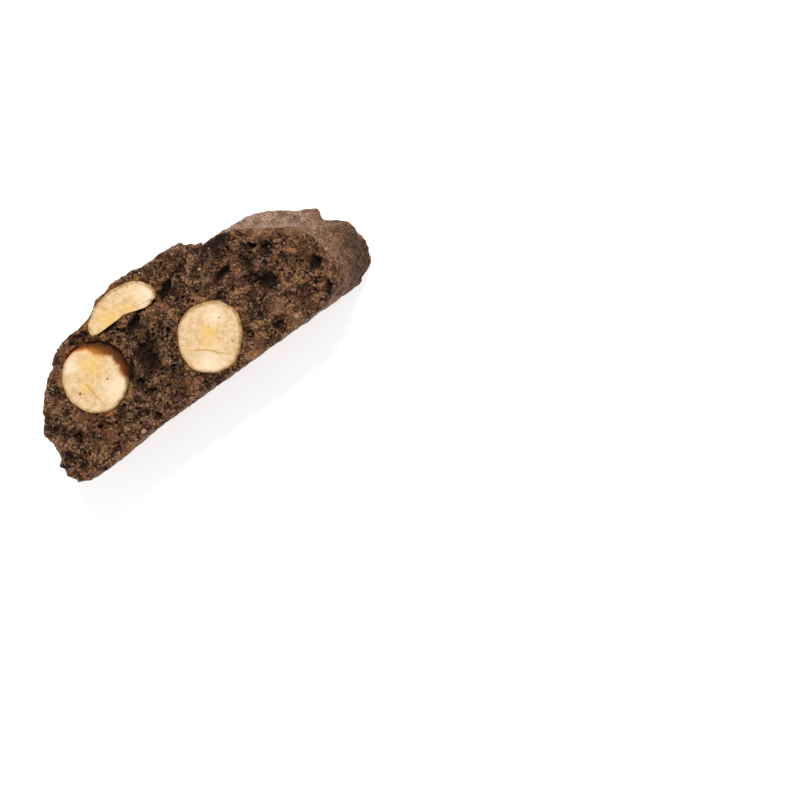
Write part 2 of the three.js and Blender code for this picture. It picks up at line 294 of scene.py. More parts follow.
VOXEL = 0.2
GRID_LOW = (-39.4, -16.8, -0.9)
GRID_SHAPE = (360, 168, 80)
FIELD_BAND = 3 * VOXEL  # the field counts within this distance of the surface
DOUGH_TRIANGLES = 186000

# Noise that shapes crumb and pores: seed, and size of its blobs.
BROAD_NOISE = (1, 2.8)
COARSE_NOISE = (2, 1.3)
FINE_NOISE = (3, 0.66)
GRAIN_NOISE = (4, 0.4)

# The crust is calmer where the half nut is close under it, and rougher where it is torn.
CALM_MIDDLE = (-13.5, 12.0)
CALM_REACH = 7.5
CALM_SHARE = 0.8
TORN_ROUGHNESS = 0.2

CRUMB_RELIEF = 0.34
CRUMB_TOP = 0.1  # how far the crumb's grain rises over its middle height, at most
CRUMB_TOP_ROUND = 0.14
LOWER_CRUMB = 0.12  # height of the lower cut face's crumb
LEFT_RIM_CALM = 0.8  # the share of the relief that the rim of the left end goes without

EDGE_ROUND = 0.35  # rounding of the upper cut face's edge
END_EDGE_ROUND = 1.2  # what it has on top of that at the right end
LOWER_EDGE_ROUND = 0.4

# Pores: how much their noise changes over a millimetre, which makes it a distance, and their rounding.
SMALL_PORE_FALL = 4.6
SMALL_PORE_ROUND = 0.1
LARGE_PORE_FALL = 2.6
LARGE_PORE_ROUND = 0.14


def grid_axes():
    """The x, y and z of the grid's points, each shaped to spread over the other two."""
    axes = [low + VOXEL * np.arange(count) for low, count in zip(GRID_LOW, GRID_SHAPE)]
    return np.ix_(*axes)


def cloud(seed, size):
    """Seeded noise over the grid with blobs of about that size, of mean 0 and deviation 1."""
    random = np.random.default_rng(seed)
    spectrum = np.fft.rfftn(random.standard_normal(GRID_SHAPE, dtype=np.float32))
    waves = np.ix_(
        np.fft.fftfreq(GRID_SHAPE[0], VOXEL),
        np.fft.fftfreq(GRID_SHAPE[1], VOXEL),
        np.fft.rfftfreq(GRID_SHAPE[2], VOXEL),
    )
    squared = (waves[0] ** 2 + waves[1] ** 2 + waves[2] ** 2) * (2 * size) ** 2
    spectrum *= squared * np.exp(-squared)
    field = np.fft.irfftn(spectrum, GRID_SHAPE).astype(np.float32)
    return field / field.std()


def dough_field():
    """Distance from the dough's surface over the grid, negative inside."""
    x, y, z = grid_axes()
    broad = cloud(*BROAD_NOISE)
    coarse = cloud(*COARSE_NOISE)
    fine = cloud(*FINE_NOISE)
    grain = cloud(*GRAIN_NOISE)
    rough = 0.5 * broad + 0.5 * coarse + 0.42 * fine + 0.25 * grain
    wall = wall_distance(x, y, z).astype(np.float32)
    calm = 1 - CALM_SHARE * hill(np.hypot(x - CALM_MIDDLE[0], y - CALM_MIDDLE[1]) / CALM_REACH)
    crust = wall - calm * (0.07 * broad + 0.06 * coarse + 0.03 * fine)
    crust = crust - TORN_ROUGHNESS * torn_share(x, y) * rough

    uneven = CRUMB_UNEVEN * waver(x, y, 0, CRUMB_WAVE) - hollow_depth(x, y)
    left_rim = smoothstep(-1.6, -0.4, wall) * smoothstep(-27, -32, x)
    relief = CRUMB_RELIEF * rough * (1 - LEFT_RIM_CALM * left_rim)
    relief = -smooth_max(-relief, -CRUMB_TOP, CRUMB_TOP_ROUND)
    top = z - (THICKNESS + uneven - CRUMB_TOP) - relief
    bottom = -z + LOWER_CRUMB - 0.5 * relief
    field = smooth_max(crust, top, EDGE_ROUND + END_EDGE_ROUND * smoothstep(18, 27, x + 0.4 * y))
    field = smooth_max(field, bottom, LOWER_EDGE_ROUND)

    # Pores are open near a cut face and away from the crust.
    depth = np.minimum(THICKNESS - z, z)
    shut = smoothstep(1.0, 2.4, depth) + 1.5 * smoothstep(-1.7, -0.3, wall)
    small = 0.85 * fine - 0.35 * broad + 0.5 * grain - 1.25 - 2.2 * shut
    large = 0.8 * coarse - 0.45 * broad + 0.45 * fine - 1.45 - 2.4 * shut
    field = smooth_max(field, small / SMALL_PORE_FALL, SMALL_PORE_ROUND)
    field = smooth_max(field, large / LARGE_PORE_FALL, LARGE_PORE_ROUND)

    for nut in NUTS.values():
        field = np.maximum(field, -pocket_distance(nut, x, y, z))
    return field


def surface_of(field):
    """The closed surface of a field as points in grid steps and quads, without loose or sealed parts."""
    clipped = np.clip(field, -FIELD_BAND, FIELD_BAND).astype(np.float32)
    clipped[:, :, :2] = np.maximum(clipped[:, :, :2], VOXEL)  # the two lowest layers are air
    volume = openvdb.FloatGrid(FIELD_BAND)
    volume.copyFromArray(clipped)
    points, quads = volume.convertToQuads(0.0)

    # Every point takes the lowest number among the points it is joined to, and the largest group stays.
    label = np.arange(len(points))
    while True:
        low = np.repeat(label[quads].min(1), 4)
        lower = label.copy()
        np.minimum.at(lower, quads.ravel(), low)
        lower = lower[lower]
        if np.array_equal(lower, label):
            break
        label = lower
    main = np.bincount(label).argmax()
    quads = quads[label[quads[:, 0]] == main]
    used, quads = np.unique(quads, return_inverse=True)
    quads = quads.reshape(-1, 4)
    points = points[used]

    corners = points[quads]
    facing = np.cross(corners[:, 2] - corners[:, 0], corners[:, 3] - corners[:, 1])
    if (facing * corners[:, 0]).sum() < 0:  # inside out
        quads = quads[:, ::-1]
    return points, quads


# ---- Pieces ----

WELD_REACH = 1e-6  # in metres


def mesh_piece(name, points, faces):
    """An object of smooth faces with points in metres."""
    mesh = bpy.data.meshes.new(name)
    sides = faces.shape[1]
    mesh.vertices.add(len(points))
    mesh.vertices.foreach_set("co", np.ascontiguousarray(points, np.float32).ravel())
    mesh.loops.add(faces.size)
    mesh.loops.foreach_set("vertex_index", np.ascontiguousarray(faces, np.int32).ravel())
    mesh.polygons.add(len(faces))
    mesh.polygons.foreach_set("loop_start", np.arange(0, faces.size, sides, dtype=np.int32))
    mesh.update(calc_edges=True)
    mesh.shade_smooth()
    piece = bpy.data.objects.new(name, mesh)
    bpy.context.scene.collection.objects.link(piece)
    return piece


def mesh_points(piece):
    """The piece's points in metres."""
    points = np.empty(3 * len(piece.data.vertices), np.float32)
    piece.data.vertices.foreach_get("co", points)
    return points.reshape(-1, 3)


def places(piece):
    """The piece's points in upright millimetres."""
    points = mesh_points(piece).astype(float) / MM
    points[:, 0] -= SLANT * (1 - points[:, 2] / THICKNESS)
    return points


def slanted(points):
    """Upright millimetres to the part's frame in metres."""
    moved = points.copy()
    moved[:, 0] += SLANT * (1 - points[:, 2] / THICKNESS)
    return moved * MM


def paint(piece, name, values):
    """Gives the piece's points a value each, which its material reads by that name."""
    attribute = piece.data.attributes.new(name, "FLOAT", "POINT")
    attribute.data.foreach_set("value", np.ascontiguousarray(values, np.float32))


def apply_modifiers(piece):
    """Makes the piece's mesh what its modifiers show, smooth, and takes them off."""
    graph = bpy.context.evaluated_depsgraph_get()
    shown = bpy.data.meshes.new_from_object(piece.evaluated_get(graph))
    piece.modifiers.clear()
    plain = piece.data
    piece.data = shown
    bpy.data.meshes.remove(plain)
    shown.shade_smooth()


def thin_out(piece, triangles):
    """Brings a piece of quads down to about that many triangles."""
    thin = piece.modifiers.new("thin", "DECIMATE")
    thin.ratio = triangles / (2 * len(piece.data.polygons))
    apply_modifiers(piece)


def weld(piece):
    """Joins the points that a piece has on one spot."""
    join = piece.modifiers.new("weld", "WELD")
    join.merge_threshold = WELD_REACH
    apply_modifiers(piece)


# ---- The dough ----

# Lighter, redder patches of the shown crumb, and patches of painted shade over low crumb: middle x, y and
# radius.
WARM_CRUMB = (
    (15.7, -8.4, 3.0), (17.6, -11.8, 2.6), (6.5, -13.0, 2.6), (22.0, 7.0, 3.2), (-27.5, 7.0, 2.4),
)
SHADED_CRUMB = (
    (-11.7, 0.4, 4.4), (-14.6, -4.0, 3.4), (-9.0, 4.6, 3.0), (16.1, -0.6, 4.4), (20.9, 3.6, 2.6),
    (21.2, -9.8, 3.0), (12.0, 8.6, 4.4), (-1.5, 7.2, 3.2), (-34.2, -1.8, 2.8), (-32.0, -6.7, 2.2),
    (-35.0, -8.8, 2.0), (-28.1, -8.7, 2.0), (-21.5, -7.6, 2.4), (-8.5, -8.0, 2.6),
)
DEEPEST_SHADE = 1.2  # a hollow gets no darker than at this depth


def blobs(table, x, y):
    """Soft round patches, 1 in the middle."""
    share = np.zeros(x.shape)
    for at_x, at_y, radius in table:
        share = np.maximum(share, hill(np.hypot(x - at_x, y - at_y) / radius))
    return share


def paint_dough(dough):
    """Marks how far each point is crust, painted shade of pores, painted shade of hollows, warm, painted
    shade of low crumb, oily, and darker at the far end, from baking and from painted shade.
    """
    x, y, z = places(dough).T
    wall = wall_distance(x, y, z)
    depth = np.minimum(THICKNESS - z, z)
    shown = smoothstep(3, 2, THICKNESS - z)
    torn = torn_share(x, y)
    edge = 0.25 + 2.2 * smoothstep(20, 27, x) * smoothstep(9, 3, y) + 6 * torn
    ragged = 0.45 * waver(x, y, z, 1.1) + 0.35 * waver(y, z, x, 2.3)
    beside_nut = np.min([pocket_distance(nut, x, y, z) for nut in NUTS.values()], axis=0)
    along = x + SLANT * (1 - z / THICKNESS)
    paint(dough, "crust", smoothstep(edge - 0.45, edge + 0.45, wall + depth + ragged))
    # Painted shade down in pores and other recesses under the cut faces, darker the deeper.
    paint(dough, "pore_shade", smoothstep(0.15, 1.3, depth) * smoothstep(0, -0.7, wall))
    # Painted shade in the hollows of the shown face, darker where they are deeper.
    paint(dough, "hollow_shade", np.minimum(hollow_depth(x, y), DEEPEST_SHADE) * (1 - 0.7 * torn) * shown)
    paint(dough, "warm", blobs(WARM_CRUMB, x, y) * shown)
    # Painted shade over low crumb, in the patches listed above.
    paint(dough, "dark", blobs(SHADED_CRUMB, x, y) * shown)
    paint(dough, "oily", smoothstep(1.2, 0.1, beside_nut))
    # Darker toward the far end: partly crust that baking made darker, partly painted shade of the end that
    # faces away from the key light.
    paint(dough, "baked_and_shaded", smoothstep(26, 38.5, along - 0.25 * (y + 4)))


def make_dough():
    points, quads = surface_of(dough_field())
    upright = np.array(GRID_LOW) + VOXEL * points
    dough = mesh_piece("dough_crumb_and_crust", slanted(upright), quads)
    thin_out(dough, DOUGH_TRIANGLES)
    paint_dough(dough)
    dough.data.materials.append(dough_material())
    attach(dough, "root")
    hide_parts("dough")
    return dough


# ---- Hazelnuts ----

NUT_RINGS = 84
NUT_SPOKES = 240
NUT_UNDER_RINGS = 12
RING_CROWDING = 1.3  # over 1, the rings are closer together toward the edge
NUT_RIM = 0.35  # radius of the edge of the cut
SHOULDER = {"hazelnut_end": (2.7, -20)}  # an edge that the knife missed: its width and the way it faces
SHOULDER_DROP = 1.3
SHOULDER_TURN = 100  # how many degrees a shoulder reaches to each side
CRACK_DEPTH = 0.03
SPECK_DEPTH = 0.1

# Marks on the cut faces. Cracks run through their points; the others are middle x, y and radius.
CRACKS = {
    "hazelnut_middle": [((-4.3, -4.4), (-2.1, -5.9), (-0.3, -7.0), (1.2, -8.9), (2.9, -10.3))],
    "hazelnut_end": [((-24.2, 1.8), (-24.0, -0.2), (-23.6, -3.5))],
    "hazelnut_half": [],
    "hazelnut_under_right": [((10.0, -4.4), (13.0, -2.4), (18.0, -1.0))],
    "hazelnut_under_left": [((-12.8, -1.5), (-12.0, -7.0))],
}
SPECKS = {
    "hazelnut_middle": (
        (5.2, -3.1, 0.22), (-2.5, -2.8, 0.16), (3.7, -8.2, 0.2), (4.8, -8.5, 0.24), (6.0, -7.1, 0.14),
        (4.4, -1.2, 0.14), (2.4, -3.4, 0.13), (0.3, -0.9, 0.12),
    ),
    "hazelnut_end": ((-20.0, -0.1, 0.3), (-26.2, 0.6, 0.4), (-25.6, 0.1, 0.2), (-22.4, 2.7, 0.12)),
    "hazelnut_half": ((-6.2, 12.6, 0.16), (-8.8, 9.9, 0.12)),
    "hazelnut_under_right": ((16.2, 0.8, 0.3), (11.5, -5.0, 0.24)),
    "hazelnut_under_left": ((-13.4, -6.5, 0.26),),
}
BLUSHES = {
    "hazelnut_middle": ((1.9, -3.9, 2.6), (0.4, -6.0, 2.0)),
    "hazelnut_end": ((-21.2, 4.0, 3.6), (-24.6, 1.0, 2.0)),
    "hazelnut_half": ((-13.0, 8.9, 4.2), (-8.4, 8.6, 2.2)),
    "hazelnut_under_right": ((14.2, -2.0, 3.2),),
    "hazelnut_under_left": ((-11.8, -4.6, 2.4),),
}
PALES = {
    "hazelnut_middle": ((-1.3, -9.4, 4.4), (4.6, -2.2, 3.0)),
    "hazelnut_end": ((-19.8, -2.9, 4.4), (-24.7, 6.4, 2.8)),
    "hazelnut_half": ((-3.6, 9.4, 4.6),),
    "hazelnut_under_right": ((11.0, 1.0, 3.4),),
    "hazelnut_under_left": ((-12.4, -7.8, 3.0),),
}


def distance_to_path(x, y, path):
    """Distance to the nearest stretch of a path, and how far along it, from 0 to 1."""
    best = np.full(x.shape, 1e3)
    share = np.zeros(x.shape)
    for i, ((ax, ay), (bx, by)) in enumerate(zip(path, path[1:])):
        dx = bx - ax
        dy = by - ay
        t = np.clip(((x - ax) * dx + (y - ay) * dy) / (dx * dx + dy * dy), 0, 1)
        apart = np.hypot(x - ax - t * dx, y - ay - t * dy)
        closer = apart < best
        best = np.where(closer, apart, best)
        share = np.where(closer, (i + t) / (len(path) - 1), share)
    return best, share


def nut_edge(nut, angle):
    """The outline of a nut in its own frame, with the small unevenness of a real one."""
    dx = np.cos(angle)
    dy = np.sin(angle)
    a, b, p = quarters(dx, dy, nut["reach"], nut["fullness"])
    r = (np.abs(dx) ** p + np.abs(dy) ** p) ** (-1 / p)
    x = a * r * dx
    y = b * r * dy
    phase = nut["at"][0]
    push = -0.06 * np.sin(5 * angle + phase) - 0.05 * np.sin(9 * angle + 2 * phase)
    for dent_x, dent_y, deep, wide in nut.get("dents", ()):
        push = push + deep * hill(np.hypot(x - dent_x, y - dent_y) / wide)
    out_x = np.sign(dx) * np.abs(r * dx) ** (p - 1) / a
    out_y = np.sign(dy) * np.abs(r * dy) ** (p - 1) / b
    length = np.hypot(out_x, out_y)
    return x - push * out_x / length, y - push * out_y / length


def shoulder_width(name, angle):
    """How far in from the outline the toasted, uncut slope of a nut goes at an angle in its own frame."""
    if name not in SHOULDER:
        return np.zeros(angle.shape)
    wide, facing = SHOULDER[name]
    away = np.abs((np.degrees(angle) - facing + 180) % 360 - 180)
    return wide * hill(away / SHOULDER_TURN)


def toast_shares(name, angle, inward):
    """How toasted the cut of a nut is, from 0 to 1, and how dark its toasted edge is painted: partly burnt
    toast, partly painted shade toward the outline and on one side.
    """
    shoulder = shoulder_width(name, angle)
    ragged = 0.6 * np.sin(5 * angle + 2.1) + 0.25 * np.sin(13 * angle + 0.6) + 0.14 * np.sin(29 * angle)
    inner_edge = inward - shoulder - 0.5 * ragged * np.minimum(shoulder, 1)
    toast = smoothstep(0.5, -0.4, inner_edge) * (shoulder > 0.05)
    # Darkest at the outline and darker on one side: partly burnt toast, partly painted shade where the
    # shoulder falls away.
    char_and_shade = np.clip(1 - inward / np.maximum(shoulder, 0.1), 0, 1) + 0.3 * np.cos(angle + 1.2)
    return toast, char_and_shade


def crack_share(name, x, y):
    """1 in the middle of a nut's cracks, which fade toward their ends."""
    crack = np.zeros(x.shape)
    for path in CRACKS[name]:
        apart, along = distance_to_path(x + 0.1 * waver(y, x, 1, 0.9), y, path)
        fading = np.sqrt(np.sin(math.pi * np.clip(along, 0.02, 0.98)))
        crack = np.maximum(crack, smoothstep(0.3, 0.02, apart) * fading)
    return crack


def speck_share(name, x, y):
    """1 in a nut's dark specks, which are wider than high."""
    speck = np.zeros(x.shape)
    for at_x, at_y, radius in SPECKS[name]:
        apart = np.hypot(x - at_x, (y - at_y) * 1.3)
        speck = np.maximum(speck, smoothstep(1.3, 0.6, apart / radius))
    return speck


def cut_marks(name, angle, inward, x, y):
    """What the nut's material reads, for every point of the cut."""
    toast, char_and_shade = toast_shares(name, angle, inward)
    return {
        "rim": smoothstep(0.95, 0.15, inward) * (1 - toast),
        "toast": toast,
        "char_and_shade": char_and_shade,
        "crack": crack_share(name, x, y),
        "speck": speck_share(name, x, y),
        "blush": blobs(BLUSHES[name], x, y),
        "pale": blobs(PALES[name], x, y),
    }


def cut_sink(name, angle, inward, x, y, marks):
    """How far the cut lies under its plane: gentle waves, fine roughness, a round edge and the shoulder."""
    rim = np.clip(1 - inward / NUT_RIM, 0, 1)
    sink = NUT_RIM * (1 - np.sqrt(np.maximum(0, 1 - rim**2)))
    sink += 0.07 * waver(x, y, 0, 2.3) + 0.03 * waver(x, y, 3, 0.7)
    sink += SHOULDER_DROP * hill(inward / np.maximum(1.2 * shoulder_width(name, angle), 1e-3))
    sink += CRACK_DEPTH * marks["crack"]
    sink += SPECK_DEPTH * marks["speck"]
    return sink


def make_nut(name, flesh):
    """A nut as rings of points: the middle, the cut out to its edge, and the round underside."""
    nut = NUTS[name]
    angle = np.linspace(0, 2 * math.pi, NUT_SPOKES, endpoint=False)
    edge_x, edge_y = nut_edge(nut, angle)
    out = 1 - (1 - np.linspace(0, 1, NUT_RINGS + 1)[1:, None]) ** RING_CROWDING
    inward = (1 - out) * np.hypot(edge_x, edge_y)
    x, y = slice_place(nut, out * edge_x, out * edge_y)
    marks = cut_marks(name, angle, inward, x, y)
    sink = cut_sink(name, angle, inward, x, y, marks)

    turn = np.linspace(0, math.pi / 2, NUT_UNDER_RINGS + 1)[1:, None]
    under = NUT_RIM + (nut["deep"] - NUT_RIM) * np.sin(turn) + np.zeros(NUT_SPOKES)
    middle = np.zeros((1, NUT_SPOKES))
    rings_x, rings_y = slice_place(
        nut,
        np.concatenate([middle, out * edge_x, np.cos(turn) * edge_x]),
        np.concatenate([middle, out * edge_y, np.cos(turn) * edge_y]),
    )
    rings_sink = np.concatenate([middle + sink[0].mean(), sink, under])
    points = np.stack([rings_x, rings_y, nut["cut"] + nut["down"] * rings_sink], -1)

    row = np.arange(len(points) - 1)[:, None] * NUT_SPOKES
    first = (row + np.arange(NUT_SPOKES)).ravel()
    after = (row + (np.arange(NUT_SPOKES) + 1) % NUT_SPOKES).ravel()
    quads = np.stack([first, first + NUT_SPOKES, after + NUT_SPOKES, after], 1)
    if nut["down"] > 0:
        quads = quads[:, ::-1]
    piece = mesh_piece(name + "_cut", slanted(points.reshape(-1, 3)), quads)
    for mark, values in marks.items():
        below = np.full(under.shape, 1.0 if mark == "rim" else 0.0)
        paint(piece, mark, np.concatenate([values[:1], values, below]).ravel())
    weld(piece)
    piece.data.materials.append(flesh)
    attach(piece, "root")
    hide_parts(name)


# ---- Chips of hazelnut ----

CHIPS = (  # x, y and radius, in the part's frame
    (30.6, -4.3, 0.5), (-20.3, -12.9, 0.62), (-26.9, -13.4, 0.35), (7.6, 7.1, 0.4), (-5.2, -0.1, 0.2),
    (-11.6, -5.1, 0.17), (18.0, -11.9, 0.5),
)
CHIP_SHAPE = (1, 0.8, 0.6)
CHIP_BUMPS = 0.12
CHIP_SINK = 0.15  # share of a chip's radius that its middle is under the dough's highest point there
CHIP_STEPS = 14


def make_chips(dough):
    """Small round chips, half sunk in the dough."""
    ground = mesh_points(dough) / MM
    columns = 2 * CHIP_STEPS + 1
    turn, tilt = np.meshgrid(np.linspace(0, 2 * math.pi, columns), np.linspace(0, math.pi, CHIP_STEPS + 1))
    ball = np.stack([np.cos(turn) * np.sin(tilt), np.sin(turn) * np.sin(tilt), -np.cos(tilt)], -1)
    first = (np.arange(CHIP_STEPS)[:, None] * columns + np.arange(columns - 1)).ravel()
    quads = np.stack([first, first + 1, first + columns + 1, first + columns], 1)
    points = []
    faces = []
    for x, y, radius in CHIPS:
        near = np.hypot(ground[:, 0] - x, ground[:, 1] - y) < 0.7 * radius
        top = ground[near, 2].max()
        bumps = 1 + CHIP_BUMPS * waver(*(3 * ball + x).T, 1.3).T[..., None]
        shape = ball * (radius * np.array(CHIP_SHAPE)) * bumps
        faces.append(quads + len(shape.reshape(-1, 3)) * len(points))
        points.append(shape.reshape(-1, 3) + np.array([x, y, top - CHIP_SINK * radius]))
    chips = mesh_piece("hazelnut_chips", np.concatenate(points) * MM, np.concatenate(faces))
    weld(chips)
    chips.data.materials.append(chip_material())
    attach(chips, "root")


# ---- Materials ----

# Painted shade in the gaps between grains of the crumb.
CRUMB_GAP_SHADE = (0.011, 0.006, 0.005)
CRUMB_BROWN = (0.1, 0.048, 0.022)
CRUMB_GRAIN = (0.35, 0.183, 0.093)
CRUMB_DARK_CELL = (0.035, 0.02, 0.012)
CRUMB_LIGHT_CELL = (0.38, 0.235, 0.15)
CRUMB_WARM_PATCH = (0.19, 0.085, 0.043)
CRUMB_DARK_PATCH = (0.035, 0.02, 0.014)
CRUMB_WARM = (0.3, 0.145, 0.08)
# Painted shade deep in pores.
CRUMB_PORE_SHADE = (0.012, 0.007, 0.005)
# Pale crystals in the crumb, painted bright to stand in for their glints too.
SUGAR_AND_GLINT = (0.7, 0.56, 0.44)

CRUST_DARK_GRAIN = (0.06, 0.032, 0.019)
CRUST_LIGHT_GRAIN = (0.455, 0.28, 0.192)
CRUST_DARK_BLOTCH = (0.085, 0.04, 0.021)
CRUST_LIGHT_BLOTCH = (0.36, 0.235, 0.165)
# The far end's darker crust: partly from baking, partly painted shade.
CRUST_BAKED_AND_SHADED = (0.038, 0.015, 0.006)
# Painted shade in the crust's pits.
CRUST_PIT_SHADE = (0.03, 0.016, 0.01)

FLESH_TAN = (0.58, 0.37, 0.165)
FLESH_CREAM = (0.72, 0.53, 0.315)
FLESH_DARK_GRAIN = (0.48, 0.29, 0.11)
FLESH_LIGHT_GRAIN = (0.83, 0.68, 0.47)
FLESH_BLUSH = (0.72, 0.45, 0.125)
FLESH_PALE = (0.82, 0.65, 0.46)
NUT_SKIN = (0.27, 0.14, 0.035)
NUT_CRACK = (0.46, 0.23, 0.05)
NUT_SPECK = (0.2, 0.095, 0.03)
TOAST_AMBER = (0.5, 0.18, 0.032)
TOAST_BROWN = (0.15, 0.044, 0.01)
# Painted shade at the outer edge of the toasted shoulder, darker than the toast itself.
TOAST_SHADE_BLACK = (0.045, 0.016, 0.007)
CHIP_BROWN = (0.2, 0.115, 0.06)
CHIP_TAN = (0.4, 0.26, 0.165)

# Tints multiply the colour under them.
# Painted shade over low crumb.
SHADE_TINT = (0.22, 0.24, 0.3)
# Painted shade in the hollows.
HOLLOW_SHADE_TINT = (0.14, 0.16, 0.2)
PLUM_TINT = (1.02, 0.87, 1.18)
OLIVE_TINT = (0.95, 1.02, 0.72)
AMBER_TINT = (1.35, 1.08, 0.86)
OILY_TINT = (1.1, 0.95, 0.6)
# The far end's warmer, darker crust: partly from baking, partly painted shade.
BAKED_AND_SHADED_TINT = (0.93, 0.8, 0.66)


class Shader:
    """A new material and short calls for its nodes. Sizes in it are in millimetres."""

    def __init__(self, name):
        self.material = bpy.data.materials.new(name)
        self.material.use_nodes = True
        self.tree = self.material.node_tree
        self.tree.nodes.clear()
        place = self.add("ShaderNodeTexCoord").outputs["Object"]
        self.mm = self.add("ShaderNodeMapping", {"Vector": place})
        self.mm.inputs["Scale"].default_value = (1 / MM,) * 3

    def add(self, kind, inputs=None, **settings):
        node = self.tree.nodes.new(kind)
        for key, value in settings.items():
            setattr(node, key, value)
        for key, value in (inputs or {}).items():
            self.plug(node.inputs[key], value)
        return node

    def plug(self, socket, value):
        """Sets a socket to a value, or links it to another socket or to a node's first output."""
        if isinstance(value, bpy.types.Node):
            value = value.outputs[0]
        if isinstance(value, bpy.types.NodeSocket):
            self.tree.links.new(value, socket)
        elif socket.type == "RGBA":
            socket.default_value = (*value, 1)
        else:
            socket.default_value = value

    def scaled(self, scale):
        """The place with its axes stretched, for grain with a direction."""
        return self.add("ShaderNodeVectorMath", {0: self.mm, 1: scale}, operation="MULTIPLY")

    def noise(self, size, detail=2.0, roughness=0.5, at=None):
        return self.add(
            "ShaderNodeTexNoise",
            {"Vector": at or self.mm, "Scale": 1 / size, "Detail": detail, "Roughness": roughness},
        )

    def cells(self, size):
        return self.add("ShaderNodeTexVoronoi", {"Vector": self.mm, "Scale": 1 / size})

    def attribute(self, name):
        """A share painted on the piece."""
        return self.add("ShaderNodeAttribute", attribute_name=name).outputs["Fac"]

    def span(self, value, low, high, to_low=0.0, to_high=1.0):
        """Takes value's stretch from low to high to another one, and clamps it."""
        return self.add("ShaderNodeMapRange", {0: value, 1: low, 2: high, 3: to_low, 4: to_high}).outputs[0]

    def math(self, operation, a, b=0.0):
        return self.add("ShaderNodeMath", {0: a, 1: b}, operation=operation)

    def mix(self, share, a, b, blend="MIX"):
        """Mixes two colours, which are inputs 6 and 7 and output 2 of a Mix node."""
        node = self.add("ShaderNodeMix", {0: share, 6: a, 7: b}, data_type="RGBA", blend_type=blend)
        return node.outputs[2]

    def tint(self, share, colour, by):
        """Multiplies a colour by another one, as far as "share" says."""
        return self.mix(share, colour, by, "MULTIPLY")

    def times(self, value, factor):
        return self.math("MULTIPLY", value, factor)

    def finish(self, colour, roughness, height, bump_mm, specular, glow=0.0):
        """The material's skin. "height" is its relief, "bump_mm" deep."""
        bump = self.add("ShaderNodeBump", {"Height": height, "Distance": bump_mm * MM, "Strength": 1.0})
        skin = self.add(
            "ShaderNodeBsdfPrincipled",
            {
                "Base Color": colour,
                "Roughness": roughness,
                "Normal": bump,
                "Specular IOR Level": specular,
                "Emission Color": (1.0, 1.0, 1.0),
                "Emission Strength": glow,
            },
        )
        self.add("ShaderNodeOutputMaterial", {"Surface": skin})
        return self.material


def crumb_colour(s, height, clumps):
    """Grains with painted shade in the gaps between them, in patches of darker and warmer dough, with
    painted shade over low crumb, in hollows and in pores, and a few pale sugar grains that are also painted
    glints.
    """
    cell = s.add("ShaderNodeSeparateColor", {0: s.cells(0.4).outputs["Color"]})
    patches = s.noise(6.0, 2.0, 0.5)
    hue = s.noise(0.9, 2.0, 0.6)
    # Painted shade: the lower the bump height, the darker the crumb, darkest in the gaps between grains.
    crumb = s.mix(s.span(height, 0.43, 0.50), CRUMB_GAP_SHADE, CRUMB_BROWN)
    crumb = s.mix(s.span(height, 0.50, 0.58), crumb, CRUMB_GRAIN)
    crumb = s.mix(s.span(cell.outputs[0], 0.3, 1, 0, 0.7), crumb, CRUMB_DARK_CELL)
    crumb = s.mix(s.span(cell.outputs[1], 0.84, 1, 0, 0.8), crumb, CRUMB_LIGHT_CELL)
    crumb = s.mix(s.span(patches, 0.5, 0.72, 0, 0.55), crumb, CRUMB_WARM_PATCH)
    crumb = s.mix(s.span(patches, 0.5, 0.28, 0, 0.45), crumb, CRUMB_DARK_PATCH)
    crumb = s.mix(s.times(s.attribute("warm"), 0.45), crumb, CRUMB_WARM)
    # Painted shade over low crumb.
    crumb = s.tint(s.times(s.attribute("dark"), 0.75), crumb, SHADE_TINT)
    # Painted shade in the hollows.
    crumb = s.tint(s.span(s.attribute("hollow_shade"), 0.1, 0.9, 0, 0.9), crumb, HOLLOW_SHADE_TINT)
    # Painted shade deep in pores.
    crumb = s.mix(s.times(s.attribute("pore_shade"), 0.85), crumb, CRUMB_PORE_SHADE)
    crumb = s.tint(s.span(hue, 0.52, 0.66), crumb, PLUM_TINT)
    crumb = s.tint(s.span(hue, 0.48, 0.34), crumb, OLIVE_TINT)
    crumb = s.tint(s.span(s.noise(1.3, 2.0, 0.6), 0.54, 0.68), crumb, AMBER_TINT)
    oily = s.times(s.attribute("oily"), s.span(clumps, 0.4, 0.6, 0.4, 1.0))
    crumb = s.tint(oily, crumb, OILY_TINT)
    # Pale crystals, which are also painted glints.
    sugar_and_glint = s.span(s.cells(2.3).outputs["Distance"], 0.045, 0.07, 1, 0)
    return s.mix(s.times(sugar_and_glint, 0.85), crumb, SUGAR_AND_GLINT)


